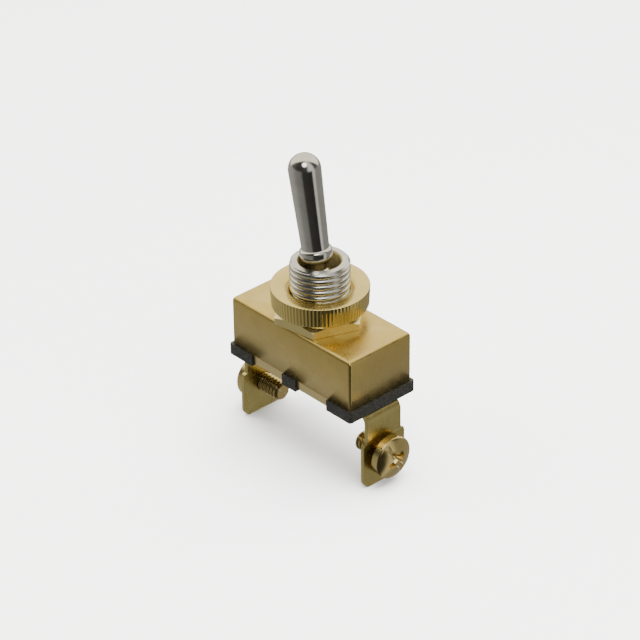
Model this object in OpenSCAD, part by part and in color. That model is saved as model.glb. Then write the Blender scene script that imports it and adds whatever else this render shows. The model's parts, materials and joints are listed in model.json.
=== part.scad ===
// Panel toggle switch, single pole, two screw terminals, threaded stem mounting.
// Millimetres. The origin is on the stem's axis, in the plane of the case's top face.
// X runs along the case, Y across it, and Z up along the stem. The lever rests leaning towards -X.

/* [Case] */
// Outside length of the case, along X
case_length = 34.2; // [31:0.1:42]
// Outside width of the case, along Y
case_width = 16.5; // [15.2:0.1:20]
// Depth of the case's end walls below its top face
case_depth = 11; // [10.6:0.1:14]
// Thickness of the case's sheet
sheet = 0.7; // [0.5:0.05:0.9]
// Outside radius along the top edges
top_edge_radius = 0.9; // [0.6:0.1:1.6]
// Outside radius of the four upright corners
corner_radius = 0.6; // [0.3:0.1:1.5]
// Half width of the notch between the two tabs of a long side
notch_half = 2.05; // [1:0.05:3]
// Distance from the middle of the case to a tab's outer edge
tab_end = 10.8; // [8:0.1:13]
// How far a folded tab reaches in under the base
tab_fold = 1.4; // [0.8:0.1:2]

/* [Base] */
// Depth of the base's flange below the case
flange_depth = 2.4; // [2:0.1:4]
// How far the flange stands out past each end of the case
flange_over_end = 0.6; // [0.2:0.1:1.5]
// How far the flange stands out past each long side
flange_over_side = 0.5; // [0.2:0.1:1.5]
// Thickness of the base's floor
floor_thickness = 3; // [2.6:0.1:3.6]
// Height of the base's rim above the flange
rim_height = 2; // [1.2:0.1:2.6]
// Thickness of the rim's wall
rim_wall = 1.2; // [0.8:0.1:1.6]

/* [Stem] */
// Outside diameter of the stem over the thread's crests
stem_dia = 12; // [11.6:0.1:12.8]
// Length of the stem above the case
stem_length = 12.5; // [10:0.1:16]
// Diameter of the stem's bore
bore_dia = 8.2; // [8:0.1:8.6]
// Diameter of the bore's mouth
mouth_dia = 8.7; // [8.6:0.1:9.2]
// Thickness of the stem's flange, under the case's top
stem_flange = 1.2; // [0.8:0.1:1.6]
// Width of the keyway
keyway_width = 1.7; // [1:0.1:2.2]
// Depth of the keyway
keyway_depth = 0.8; // [0.4:0.1:1.1]

/* [Nuts] */
// Hexagonal nut, across the flats
hex_flats = 16.8; // [15.5:0.1:19]
// Hexagonal nut, thickness
hex_thickness = 2; // [1.5:0.1:3]
// Angle from +X to a corner of the hexagonal nut
hex_turn = 9; // [0:0.1:60]
// Round nut, diameter over the knurl at its top
round_dia = 19.7; // [17:0.1:22]
// Round nut, diameter over the knurl at its foot
round_foot_dia = 19.2; // [16.6:0.1:22]
// Round nut, height
round_height = 4.9; // [3:0.1:5.6]
// Round nut, diameter of the countersink at its top
countersink_dia = 14.2; // [13:0.1:16]

/* [Lever] */
// Depth of the lever's pivot below the stem's top
pivot_depth = 5; // [4.4:0.1:5.6]
// Lean of the lever to either side of upright, in degrees
swing = 9.6; // [8:0.1:10]
// Length of the lever above its pivot
lever_length = 27; // [20:0.1:34]
// Diameter of the lever's domed tip
tip_dia = 6.5; // [4:0.1:9]
// Diameter of the handle just above the collar
handle_dia = 5.5; // [4:0.1:6.4]
// Diameter of the collar
collar_dia = 6.5; // [5.8:0.1:6.6]
// Diameter of the waist under the collar
waist_dia = 3.8; // [3:0.1:4.6]
// Diameter of the pivot pin
pin_dia = 1.6; // [1:0.1:2]
// Diameter of the lever's lower stem
foot_dia = 3.8; // [3.4:0.1:4]
// How far the lower stem ends below the case's top face
foot_reach = 2.85; // [2.2:0.05:3.4]

/* [Plunger] */
// Diameter of the plunger
plunger_dia = 2.4; // [1.8:0.1:2.6]
// Length of the spring above the plunger
spring_length = 4.4; // [3.4:0.1:5]
// Diameter of the spring's wire
wire_dia = 0.35; // [0.2:0.05:0.45]
// Number of turns in the spring
spring_turns = 6; // [3:1:9]

/* [Contacts] */
// Thickness of the strips on the base's floor
strip = 0.6; // [0.4:0.05:0.7]
// Height of the rocker's axis above the base's floor
axis_height = 1.8; // [1.6:0.1:2]
// Length of each of the rocker's arms
arm_length = 8; // [7.5:0.1:9]
// Width of the rocker
rocker_width = 5.4; // [4:0.1:7]
// Thickness of the rocker
blade = 0.7; // [0.5:0.05:0.9]
// Tilt of the rocker to either side of level, in degrees
rocker_tilt = 8; // [6:0.5:9]
// Diameter of the silver buttons
button_dia = 2.6; // [1.6:0.1:3.6]
// Height of the rocker's button
button_height = 0.7; // [0.4:0.05:0.9]
// Distance along the arm from the rocker's middle to its button
button_reach = 6.6; // [6:0.1:7]

/* [Terminals] */
// Thickness of a terminal
terminal_sheet = 0.9; // [0.6:0.05:1.2]
// Width of a terminal where it leaves the base
neck_width = 9; // [6:0.1:11]
// Width of a terminal's plate
plate_width = 11; // [8:0.1:14]
// Outside radius of a terminal's bend
bend_radius = 2.2; // [1.5:0.1:3]
// Distance from the base's end to a plate's outer face
plate_out = 0.4; // [0:0.1:2]
// Depth of a plate's shoulders below the case's top face
shoulder_depth = 20.1; // [18:0.1:22]
// Depth of a terminal screw's axis below the case's top face
screw_depth = 23.9; // [21.5:0.1:26]
// Distance from the screw's axis to the plate's lower edge
plate_below = 6.3; // [4.5:0.1:8]
// Radius of a plate's lower corners
plate_corner = 1.8; // [0.5:0.1:3]
// Diameter of a terminal screw's thread
screw_dia = 4.1; // [3:0.1:5]
// Diameter of a terminal screw's head
head_dia = 9; // [7:0.1:10]
// Height of a terminal screw's head
head_height = 3; // [1.5:0.1:4]
// Length of a terminal screw below its head
screw_length = 7.4; // [5:0.1:8.5]
// How far each head stands off its plate, open for a wire
screw_stand = 0.8; // [0:0.1:1.5]

/* [Rivets] */
// Distance from the middle of the base to a terminal rivet
terminal_rivet_x = 12.2; // [11.6:0.1:12.6]
// Distance from the middle of the base to the fulcrum's rivet
fulcrum_rivet_x = 3.2; // [3:0.1:3.6]
// Diameter of a rivet's shank
rivet_dia = 2; // [1.4:0.1:2.4]
// Diameter of a rivet's heads
rivet_head_dia = 3; // [2.6:0.1:3.2]
// Height of a rivet's heads
rivet_head = 0.5; // [0.3:0.05:0.6]

/* [Hidden] */
$fn = 64;

// Clearances
seat_gap = 0.05;      // between stamped pieces that seat on each other
plug_gap = 0.1;       // base plug and liner inside the case
turn_gap = 0.05;      // radial, between a shaft and its hole
flange_gap = 0.3;     // stem flange to the case's long walls
plunger_gap = 0.08;   // radial, plunger in the lever's foot
ball_gap = 0.6;       // radial, lever ball in the stem's bore
ear_gap = 0.25;       // rocker to the bracket's ears
contact_gap = 0.05;   // between the closed buttons
stop_gap = 0.1;       // rocker to the rest stop
centre_gap = 0.15;    // plunger tip to the rocker when the lever is upright
cut = 1;              // how far cutting solids run past a face

// Levels
base_bottom = -case_depth - flange_depth;
floor_top = base_bottom + floor_thickness;
rim_top = -case_depth + rim_height;
strip_top = floor_top + strip;
pivot_z = stem_length - pivot_depth;
stem_bottom = -sheet - stem_flange;
liner_top = stem_bottom - plug_gap;
round_bottom = hex_thickness;
terminal_top = base_bottom;
screw_z = -screw_depth;
plate_bottom = screw_z - plate_below;

// Plans
inner_length = case_length - 2 * sheet;
inner_width = case_width - 2 * sheet;
plug_length = inner_length - 2 * plug_gap;
plug_width = inner_width - 2 * plug_gap;
base_length = case_length + 2 * flange_over_end;
base_width = case_width + 2 * flange_over_side;
stem_flange_dia = inner_width - 2 * flange_gap;
plate_face = base_length / 2 + plate_out;
strip_end = plug_length / 2 - rim_wall - plug_gap;

// Lever and plunger, measured from the pivot along the lever
foot_end = (pivot_z + foot_reach) / cos(swing);
ball_dia = bore_dia - 2 * ball_gap;
collar_top = (stem_length + 2.2 - pivot_z) / cos(swing);
collar_height = 2.1;
collar_cone = 1.8;
well_top = 2;
well_dia = plunger_dia + 2 * plunger_gap;
pin_length = stem_dia - 2.2;

// Rocker, measured from its axis
axis_z = floor_top + axis_height;
apex_height = 1.35;
trough_dia = 1.3;
knife_dia = trough_dia - 2 * turn_gap;
boss_half = 1.4;
blade_apex = apex_height * cos(rocker_tilt);
blade_under = axis_z + blade_apex - blade;
button_x = apex_height * sin(rocker_tilt) + button_reach;
plunger_tip = pivot_z - axis_z - apex_height - centre_gap;
plunger_top = well_top + spring_length;

// Fulcrum bracket
bracket_foot_top = strip_top + strip;
ear_half = 1.5;
ear_height = 1.9;
ear_thickness = 0.6;
ear_inner = rocker_width / 2 + ear_gap;
foot_side = 1.8;

// Rest stop
stop_length = 2.4;
stop_width = 4;

// Colours
brass = [0.78, 0.66, 0.38];
nut_brass = [0.83, 0.71, 0.40];
nickel = [0.72, 0.71, 0.68];
phenolic = [0.13, 0.13, 0.13];
silver = [0.85, 0.85, 0.86];
steel = [0.62, 0.63, 0.65];
copper = [0.74, 0.52, 0.34];
fibre = [0.45, 0.30, 0.22];

// A rectangle with round corners, centred
module round_rect(x, y, r) {
    square([x - 2 * r, y], center = true);
    square([x, y - 2 * r], center = true);
    for (i = [-1, 1], j = [-1, 1]) {
        translate([i * (x / 2 - r), j * (y / 2 - r)]) circle(r);
    }
}

// An upright rectangle from z = -depth to z = 0 with round upper corners
module round_top(width, depth, r) {
    translate([-width / 2, -depth]) square([width, depth - r]);
    translate([-width / 2 + r, -depth]) square([width - 2 * r, depth]);
    for (i = [-1, 1]) {
        translate([i * (width / 2 - r), -r]) circle(r);
    }
}

// Extrudes an outline drawn in X and Z along Y, centred
module along_y(width) {
    translate([0, width / 2, 0]) rotate([90, 0, 0]) linear_extrude(width) children();
}

// Extrudes an outline drawn in Y and Z along X, centred
module along_x(length) {
    translate([-length / 2, 0, 0]) rotate([90, 0, 90]) linear_extrude(length) children();
}

// Puts an upright shape made about the lever's pivot into the leaning rest position
module leaning() {
    translate([0, 0, pivot_z]) rotate([0, -swing, 0]) children();
}

// Puts a shape made about the rocker's axis into the tilted rest position
module tilted() {
    translate([0, 0, axis_z]) rotate([0, rocker_tilt, 0]) children();
}

// A centred block between two levels
module block(x, y, bottom, top) {
    translate([-x / 2, -y / 2, bottom]) cube([x, y, top - bottom]);
}

// The outer form of the case, with round top edges and round upright corners
module case_form() {
    intersection() {
        translate([0, 0, -case_depth]) linear_extrude(case_depth) round_rect(case_length, case_width, corner_radius);
        along_y(case_width) round_top(case_length, case_depth, top_edge_radius);
        along_x(case_length) round_top(case_width, case_depth, top_edge_radius);
    }
}

// One tab on the +Y side, from the wall down and folded in under the base
module case_tab() {
    fold_top = base_bottom + sheet;
    translate([notch_half, inner_width / 2, base_bottom]) {
        cube([tab_end - notch_half, sheet, flange_depth + cut]);
    }
    translate([notch_half, inner_width / 2 - tab_fold, base_bottom]) {
        cube([tab_end - notch_half, tab_fold + sheet, fold_top - base_bottom]);
    }
}

module case_shell() {
    color(brass) difference() {
        union() {
            case_form();
            for (i = [0, 1], j = [0, 1]) {
                mirror([i, 0, 0]) mirror([0, j, 0]) case_tab();
            }
        }
        block(inner_length, inner_width, -case_depth - cut / 2, -sheet);
        translate([0, 0, -sheet - cut]) cylinder(d = stem_dia + 2 * turn_gap, h = sheet + 2 * cut);
    }
}

// The space that one tab and its fold take up in the base, on the +Y side
module tab_recess() {
    length = tab_end - notch_half + 2 * seat_gap;
    fold_in = inner_width / 2 - tab_fold - seat_gap;
    wall_in = inner_width / 2 - seat_gap;
    translate([notch_half - seat_gap, wall_in, base_bottom - cut]) {
        cube([length, base_width, flange_depth + 2 * cut]);
    }
    translate([notch_half - seat_gap, fold_in, base_bottom - cut]) {
        cube([length, base_width, sheet + seat_gap + cut]);
    }
}

// A hole for a rivet through everything between two levels
module rivet_hole(x, bottom, top) {
    translate([x, 0, bottom - cut]) cylinder(d = rivet_dia + 2 * turn_gap, h = top - bottom + 2 * cut);
}

module base() {
    color(phenolic) difference() {
        union() {
            translate([0, 0, base_bottom]) {
                linear_extrude(flange_depth) round_rect(base_length, base_width, corner_radius);
            }
            block(plug_length, plug_width, -case_depth, rim_top);
        }
        block(plug_length - 2 * rim_wall, plug_width - 2 * rim_wall, floor_top, rim_top + cut);
        for (i = [0, 1], j = [0, 1]) {
            mirror([i, 0, 0]) mirror([0, j, 0]) tab_recess();
        }
        for (x = [-terminal_rivet_x, terminal_rivet_x, -fulcrum_rivet_x]) {
            rivet_hole(x, base_bottom, floor_top);
        }
    }
}

// One slot for an end of the pivot pin, open at the stem's lower end
module pin_slot() {
    width = pin_dia + 2 * turn_gap;
    reach = pin_length / 2 + turn_gap;
    translate([0, 0, pivot_z]) rotate([-90, 0, 0]) cylinder(d = width, h = reach);
    translate([-width / 2, 0, stem_bottom - cut]) cube([width, reach, pivot_z - stem_bottom + cut]);
}

// A ring as deep as the thread, just below where the thread comes free of the round nut
module thread_groove() {
    groove_depth = 0.6;
    groove_width = 1.2;
    translate([0, 0, round_bottom + round_height - groove_width]) difference() {
        cylinder(d = stem_dia + cut, h = groove_width);
        translate([0, 0, -cut]) cylinder(d = stem_dia - 2 * groove_depth, h = groove_width + 2 * cut);
    }
}

module stem() {
    chamfer = 0.4;
    mouth_depth = 0.6;
    color(nickel) difference() {
        union() {
            cylinder(d = stem_dia, h = stem_length - chamfer);
            translate([0, 0, stem_length - chamfer]) {
                cylinder(d1 = stem_dia, d2 = stem_dia - 2 * chamfer, h = chamfer);
            }
            translate([0, 0, stem_bottom]) cylinder(d = stem_flange_dia, h = stem_flange);
            translate([0, 0, stem_bottom]) cylinder(d = stem_dia, h = -stem_bottom);
        }
        translate([0, 0, stem_bottom - cut]) cylinder(d = bore_dia, h = stem_length - stem_bottom + 2 * cut);
        translate([0, 0, stem_length - mouth_depth]) {
            cylinder(d1 = bore_dia, d2 = mouth_dia, h = mouth_depth);
        }
        translate([0, 0, stem_length - cut / 2]) cylinder(d = mouth_dia, h = cut);
        for (j = [0, 1]) {
            mirror([0, j, 0]) pin_slot();
        }
        thread_groove();
        translate([-stem_dia, -keyway_width / 2, hex_thickness]) {
            cube([stem_dia / 2 + keyway_depth, keyway_width, stem_length]);
        }
    }
}

module hex_nut() {
    chamfer_depth = 0.8;
    crown = 0.4;
    cone_foot = hex_flats + crown + 2 * chamfer_depth / tan(30);
    color(nut_brass) difference() {
        intersection() {
            rotate([0, 0, hex_turn]) cylinder(d = hex_flats / cos(30), h = hex_thickness, $fn = 6);
            union() {
                cylinder(d = cone_foot, h = hex_thickness - chamfer_depth);
                translate([0, 0, hex_thickness - chamfer_depth]) {
                    cylinder(d1 = cone_foot, d2 = hex_flats + crown, h = chamfer_depth);
                }
            }
        }
        translate([0, 0, -cut]) cylinder(d = stem_dia + 2 * turn_gap, h = hex_thickness + 2 * cut);
    }
}

module round_nut() {
    foot_chamfer = 0.9;
    sink_depth = 0.8;
    top = round_bottom + round_height;
    color(nut_brass) difference() {
        union() {
            translate([0, 0, round_bottom]) {
                cylinder(d1 = round_foot_dia - 2 * foot_chamfer, d2 = round_foot_dia, h = foot_chamfer);
            }
            translate([0, 0, round_bottom + foot_chamfer]) {
                cylinder(d1 = round_foot_dia, d2 = round_dia, h = round_height - foot_chamfer);
            }
        }
        translate([0, 0, round_bottom - cut]) cylinder(d = stem_dia + 2 * turn_gap, h = round_height + 2 * cut);
        translate([0, 0, top - sink_depth]) {
            cylinder(d1 = stem_dia + 2 * turn_gap, d2 = countersink_dia, h = sink_depth);
        }
        translate([0, 0, top - cut / 100]) cylinder(d = countersink_dia, h = cut);
    }
}

module lever() {
    tip_centre = lever_length - tip_dia / 2;
    color(nickel) leaning() difference() {
        union() {
            translate([0, 0, tip_centre]) sphere(d = tip_dia);
            translate([0, 0, collar_top]) {
                cylinder(d1 = handle_dia, d2 = tip_dia, h = tip_centre - collar_top);
            }
            translate([0, 0, collar_top - collar_height]) cylinder(d = collar_dia, h = collar_height);
            translate([0, 0, collar_top - collar_height - collar_cone]) {
                cylinder(d1 = waist_dia, d2 = collar_dia, h = collar_cone);
            }
            cylinder(d = waist_dia, h = collar_top - collar_height);
            sphere(d = ball_dia);
            translate([0, 0, -foot_end]) cylinder(d = foot_dia, h = foot_end);
        }
        translate([0, 0, -foot_end - cut]) cylinder(d = well_dia, h = foot_end - well_top + cut);
        translate([0, -ball_dia, 0]) rotate([-90, 0, 0]) cylinder(d = pin_dia, h = 2 * ball_dia);
    }
}

module pivot_pin() {
    color(steel) leaning() translate([0, -pin_length / 2, 0]) {
        rotate([-90, 0, 0]) cylinder(d = pin_dia, h = pin_length);
    }
}

module plunger() {
    tip_centre = plunger_tip - plunger_dia / 2;
    color(fibre) leaning() {
        translate([0, 0, -tip_centre]) sphere(d = plunger_dia);
        translate([0, 0, -tip_centre]) cylinder(d = plunger_dia, h = tip_centre - plunger_top);
    }
}

// A point on the spring's wire: t is the angle along the coil and a the angle round the wire
function coil_point(t, a, coil_r, wire_r, rise) = [
    (coil_r + wire_r * cos(a)) * cos(t),
    (coil_r + wire_r * cos(a)) * sin(t),
    wire_r * sin(a) + rise * t / 360
];

module plunger_spring() {
    sides = 6;
    steps = 16 * spring_turns;
    wire_r = wire_dia / 2;
    coil_r = plunger_dia / 2 - wire_r;
    rise = (spring_length - wire_dia) / spring_turns;
    points = [for (k = [0 : steps], s = [0 : sides - 1])
        coil_point(k * 360 * spring_turns / steps, s * 360 / sides, coil_r, wire_r, rise)];
    skin = [for (k = [0 : steps - 1], s = [0 : sides - 1])
        let (n = (s + 1) % sides, low = k * sides, high = low + sides)
        [low + s, high + s, high + n, low + n]];
    start = [for (s = [0 : sides - 1]) s];
    finish = [for (s = [sides - 1 : -1 : 0]) steps * sides + s];
    color(steel) leaning() translate([0, 0, -plunger_top + wire_r]) {
        polyhedron(points, concat(skin, [start, finish]), convexity = spring_turns);
    }
}

// The rocker's outline: two arms in a shallow V and a boss with the trough that rides the knife
module rocker_outline() {
    rise = tan(rocker_tilt) * arm_length;
    under = apex_height - blade / cos(rocker_tilt);
    boss_top = apex_height - blade / 2;
    difference() {
        union() {
            polygon([[0, under], [arm_length, under + rise], [arm_length, apex_height + rise],
                [0, apex_height], [-arm_length, apex_height + rise], [-arm_length, under + rise]]);
            translate([-boss_half, 0]) square([2 * boss_half, boss_top]);
        }
        circle(d = trough_dia);
    }
}

module rocker() {
    color(copper) tilted() along_y(rocker_width) rocker_outline();
}

module rocker_button() {
    color(silver) translate([button_x, 0, blade_under - button_height]) {
        cylinder(d = button_dia, h = button_height);
    }
}

module fixed_button() {
    top = blade_under - button_height - contact_gap;
    color(silver) translate([button_x, 0, strip_top]) cylinder(d = button_dia, h = top - strip_top);
}

module fixed_strip() {
    near = button_x - button_dia / 2 - 0.4;
    color(brass) difference() {
        translate([near, -rocker_width / 2, floor_top]) cube([strip_end - near, rocker_width, strip]);
        rivet_hole(terminal_rivet_x, floor_top, strip_top);
    }
}

module common_strip() {
    far = foot_side + 0.4;
    color(brass) difference() {
        translate([-strip_end, -rocker_width / 2, floor_top]) cube([strip_end + far, rocker_width, strip]);
        rivet_hole(-terminal_rivet_x, floor_top, strip_top);
        rivet_hole(-fulcrum_rivet_x, floor_top, strip_top);
    }
}

module fulcrum_bracket() {
    foot_tail = fulcrum_rivet_x + rivet_head_dia / 2;
    foot_width = 2 * (ear_inner + ear_thickness);
    color(brass) difference() {
        union() {
            translate([-foot_tail, -foot_width / 2, strip_top]) {
                cube([foot_tail + foot_side, foot_width, strip]);
            }
            block(knife_dia, foot_width, strip_top, axis_z);
            along_y(foot_width) translate([0, axis_z]) circle(d = knife_dia);
            for (j = [0, 1]) {
                mirror([0, j, 0]) translate([-ear_half, ear_inner, strip_top]) {
                    cube([2 * ear_half, ear_thickness, axis_z + ear_height - strip_top]);
                }
            }
        }
        rivet_hole(-fulcrum_rivet_x, strip_top, bracket_foot_top);
    }
}

// A rivet with a flat head at each end, holding everything between two levels
module rivet(x, bottom, top) {
    translate([x, 0, bottom]) {
        cylinder(d = rivet_dia, h = top - bottom);
        translate([0, 0, -rivet_head]) cylinder(d = rivet_head_dia, h = rivet_head);
        translate([0, 0, top - bottom]) cylinder(d = rivet_head_dia, h = rivet_head);
    }
}

module fulcrum_rivet() {
    color(copper) rivet(-fulcrum_rivet_x, base_bottom, bracket_foot_top);
}

module terminal_rivets() {
    color(copper) for (i = [-1, 1]) {
        rivet(i * terminal_rivet_x, base_bottom - terminal_sheet, strip_top);
    }
}

// The bent strip of a terminal, seen from the side: under the base, round the bend and down
module terminal_side() {
    inner_radius = bend_radius - terminal_sheet;
    start = terminal_rivet_x - rivet_head_dia / 2 - 0.6;
    bend_x = plate_face - bend_radius;
    bend_z = terminal_top - bend_radius;
    translate([start, terminal_top - terminal_sheet]) square([bend_x - start, terminal_sheet]);
    translate([plate_face - terminal_sheet, plate_bottom]) {
        square([terminal_sheet, bend_z - plate_bottom]);
    }
    intersection() {
        translate([bend_x, bend_z]) difference() {
            circle(bend_radius);
            circle(inner_radius);
        }
        translate([bend_x, bend_z]) square(bend_radius + cut);
    }
}

// A terminal's outline from the end: the neck, the shoulders and the plate
module terminal_face() {
    shoulder_radius = 0.8;
    plate_height = -shoulder_depth - plate_bottom;
    translate([0, plate_bottom + plate_height / 2]) {
        round_rect(plate_width, plate_height, shoulder_radius);
        translate([-plate_width / 2, 0]) square([plate_width, shoulder_radius]);
    }
    translate([-neck_width / 2, plate_bottom + plate_corner]) {
        square([neck_width, terminal_top + cut - plate_bottom - plate_corner]);
    }
}

// The terminal at the +X end
module terminal() {
    color(brass) difference() {
        intersection() {
            along_y(plate_width + cut) terminal_side();
            along_x(3 * plate_face) terminal_face();
        }
        for (j = [-1, 1]) {
            lower_corner(j);
        }
        rivet_hole(terminal_rivet_x, terminal_top - terminal_sheet, terminal_top);
        translate([plate_face - cut - terminal_sheet, 0, screw_z]) {
            rotate([0, 90, 0]) cylinder(d = screw_dia + 2 * turn_gap, h = terminal_sheet + 2 * cut);
        }
    }
}

// What rounds off one lower corner of the +X terminal's plate
module lower_corner(side) {
    centre_y = plate_width / 2 - plate_corner;
    translate([plate_face, side * centre_y, plate_bottom + plate_corner]) rotate([0, 90, 0]) {
        translate([0, 0, -2 * terminal_sheet]) difference() {
            translate([0, side > 0 ? 0 : -plate_corner - cut, 0]) {
                cube([plate_corner + cut, plate_corner + cut, 3 * terminal_sheet]);
            }
            translate([0, 0, -cut]) cylinder(r = plate_corner, h = 3 * terminal_sheet + 2 * cut);
        }
    }
}

module terminal_line() {
    terminal();
}

module terminal_load() {
    mirror([1, 0, 0]) terminal();
}

// The screw at the +X end: a domed head over a short round rim, a cross recess, a slot and a shank
module terminal_screw() {
    rim = 1.8;
    dome = head_height - rim;
    dome_radius = (pow(head_dia / 2, 2) + pow(dome, 2)) / (2 * dome);
    slot_width = 1;
    slot_depth = 1.2;
    cross_length = 5;
    translate([plate_face + seat_gap + screw_stand, 0, screw_z]) rotate([0, 90, 0]) color(nut_brass) {
        difference() {
            union() {
                cylinder(d = head_dia, h = rim);
                intersection() {
                    translate([0, 0, head_height - dome_radius]) sphere(dome_radius);
                    cylinder(d = head_dia, h = head_height + cut);
                }
                translate([0, 0, -screw_length]) cylinder(d = screw_dia, h = screw_length);
            }
            translate([-head_dia / 2 - cut, -slot_width / 2, head_height - slot_depth]) {
                cube([head_dia + 2 * cut, slot_width, slot_depth + cut]);
            }
            translate([-slot_width / 2, -cross_length / 2, head_height - slot_depth]) {
                cube([slot_width, cross_length, slot_depth + cut]);
            }
        }
    }
}

module screw_line() {
    terminal_screw();
}

module screw_load() {
    mirror([1, 0, 0]) terminal_screw();
}

module insulating_liner() {
    wall = 0.4;
    color(fibre) difference() {
        block(plug_length, plug_width, rim_top, liner_top);
        block(plug_length - 2 * wall, plug_width - 2 * wall, rim_top - cut, liner_top + cut);
    }
}

module rest_stop() {
    color(fibre) translate([-button_x, 0, 0]) {
        block(stop_length, stop_width, strip_top, blade_under - stop_gap);
    }
}

case_shell();
base();
stem();
hex_nut();
round_nut();
lever();
pivot_pin();
plunger();
plunger_spring();
rocker();
rocker_button();
fixed_button();
fixed_strip();
common_strip();
fulcrum_bracket();
fulcrum_rivet();
terminal_rivets();
terminal_line();
terminal_load();
screw_line();
screw_load();
insulating_liner();
rest_stop();
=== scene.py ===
"""The looks of a panel toggle switch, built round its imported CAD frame. Lengths are in metres."""
import json
import math

import bmesh
import bpy
from mathutils import Matrix, Vector


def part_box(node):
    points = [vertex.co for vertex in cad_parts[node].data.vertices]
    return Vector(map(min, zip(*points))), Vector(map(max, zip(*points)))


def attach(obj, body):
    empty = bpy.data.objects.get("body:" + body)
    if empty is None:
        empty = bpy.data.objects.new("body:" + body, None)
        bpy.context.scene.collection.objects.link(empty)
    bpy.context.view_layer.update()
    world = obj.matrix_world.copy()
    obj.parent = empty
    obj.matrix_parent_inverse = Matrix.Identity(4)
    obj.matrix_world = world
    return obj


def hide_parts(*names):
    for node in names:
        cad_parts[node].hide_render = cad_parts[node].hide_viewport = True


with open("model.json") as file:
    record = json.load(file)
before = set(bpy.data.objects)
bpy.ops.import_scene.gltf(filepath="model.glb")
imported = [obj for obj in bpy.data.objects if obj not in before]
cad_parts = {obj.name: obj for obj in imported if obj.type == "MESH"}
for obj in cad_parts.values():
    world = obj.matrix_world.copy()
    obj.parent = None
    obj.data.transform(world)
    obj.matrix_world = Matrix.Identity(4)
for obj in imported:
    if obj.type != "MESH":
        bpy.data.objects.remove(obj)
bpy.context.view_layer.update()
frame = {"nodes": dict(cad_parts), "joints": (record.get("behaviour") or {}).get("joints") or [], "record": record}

MM = 0.001

# ---------------------------------------------------------------- sizes that the frame gives
CASE_LOW, CASE_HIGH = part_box("case_shell")
BASE_LOW, BASE_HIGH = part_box("base")
STEM_LOW, STEM_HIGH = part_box("stem")
HEX_LOW, HEX_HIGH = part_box("hex_nut")
ROUND_LOW, ROUND_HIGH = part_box("round_nut")
LEVER_LOW, LEVER_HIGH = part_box("lever")
PLATE_LOW, PLATE_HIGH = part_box("terminal_line")
SCREW_LOW, SCREW_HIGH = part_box("screw_line")
JOINTS = {joint["name"]: joint for joint in frame["joints"]}
PIVOT_Z = JOINTS["lever_tilt"]["pos_m"][2]
LEAN = -math.radians(JOINTS["lever_tilt"]["range_deg"][1] / 2)

# ---------------------------------------------------------------- sizes of the details
NEAR_ZERO = 1e-6
WELD = 0.5e-6
SLIVER = 0.2e-6

SHEET = 0.7 * MM
CASE_DEPTH = 11 * MM
TOP_EDGE = 0.9 * MM
TOP_EDGE_STEPS = 8
CASE_CORNER = 0.6 * MM
CASE_LEAST_CORNER = 0.1 * MM
CASE_CORNER_SHRINK = 0.55
CASE_LIP = 0.12 * MM
CASE_IN_CORNER = 0.12 * MM
CASE_IN_EDGE = 0.2 * MM
CORNER_STEPS = 6
TAB_NEAR = 2.05 * MM
TAB_FAR = 10.8 * MM
TAB_FOLD = 1.4 * MM
TAB_BEND_R = 0.95 * MM
TAB_FILLET_R = 0.55 * MM

STEM_R = 6 * MM
STEM_SEGMENTS = 144
BORE_R = 4.1 * MM
MOUTH_R = 4.35 * MM
MOUTH_DEPTH = 0.6 * MM
MOUTH_EDGE = 0.12 * MM
MOUTH_SLOPE = 0.1 * MM
STEM_CHAMFER = 0.48 * MM
STEM_CHAMFER_SLOPE = 0.9
STEM_FLANGE = 1.2 * MM
FLANGE_EDGE = 0.15 * MM
THREAD_PITCH = 1.25 * MM
THREAD_DEPTH = 0.5 * MM
THREAD_CREST = 0.6
THREAD_START = 0.3 * MM
THREAD_FADE = 0.5 * MM
KEY_WIDTH = 1.7 * MM
KEY_DEPTH = 0.8 * MM
SLOT_WIDTH = 1.7 * MM
SLOT_REACH = 4.95 * MM

NUT_BORE_R = 6.05 * MM
HEX_FLATS = 16.8 * MM
HEX_TURN = math.radians(9)
HEX_SIDE_STEPS = 24
HEX_CROWN = 0.2 * MM
HEX_CHAMFER_ANGLE = math.radians(30)
HEX_EDGE = 0.08 * MM
ROUND_TAPER = 0.25 * MM
ROUND_CHAMFER = 0.9 * MM
ROUND_EDGE = 0.14 * MM
KNURL_TEETH = 84
KNURL_TOOTH_STEPS = 8
KNURL_DEPTH = 0.07 * MM
KNURL_ROUNDING = 1.5
KNURL_BAND = 0.6 * MM
KNURL_FADE = 0.3 * MM
COUNTERSINK_R = 7.1 * MM
COUNTERSINK_DEPTH = 0.8 * MM
COUNTERSINK_FOOT = 0.12 * MM

TIP_R = 3.25 * MM
LEVER_LENGTH = 27 * MM
LEVER_INSIDE_CAD = 0.01 * MM
LEVER_BELOW_CASE = 2.85 * MM
BALL_R = 3.5 * MM
FOOT_R = 1.9 * MM
FOOT_EDGE = 0.15 * MM
WAIST_R = 1.9 * MM
HANDLE_R = 2.75 * MM
COLLAR_R = 3.25 * MM
COLLAR_ABOVE_STEM = 2.2 * MM
COLLAR_HEIGHT = 2.1 * MM
COLLAR_CONE = 1.8 * MM
WELL_R = 1.28 * MM
WELL_TOP = -2 * MM

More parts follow.
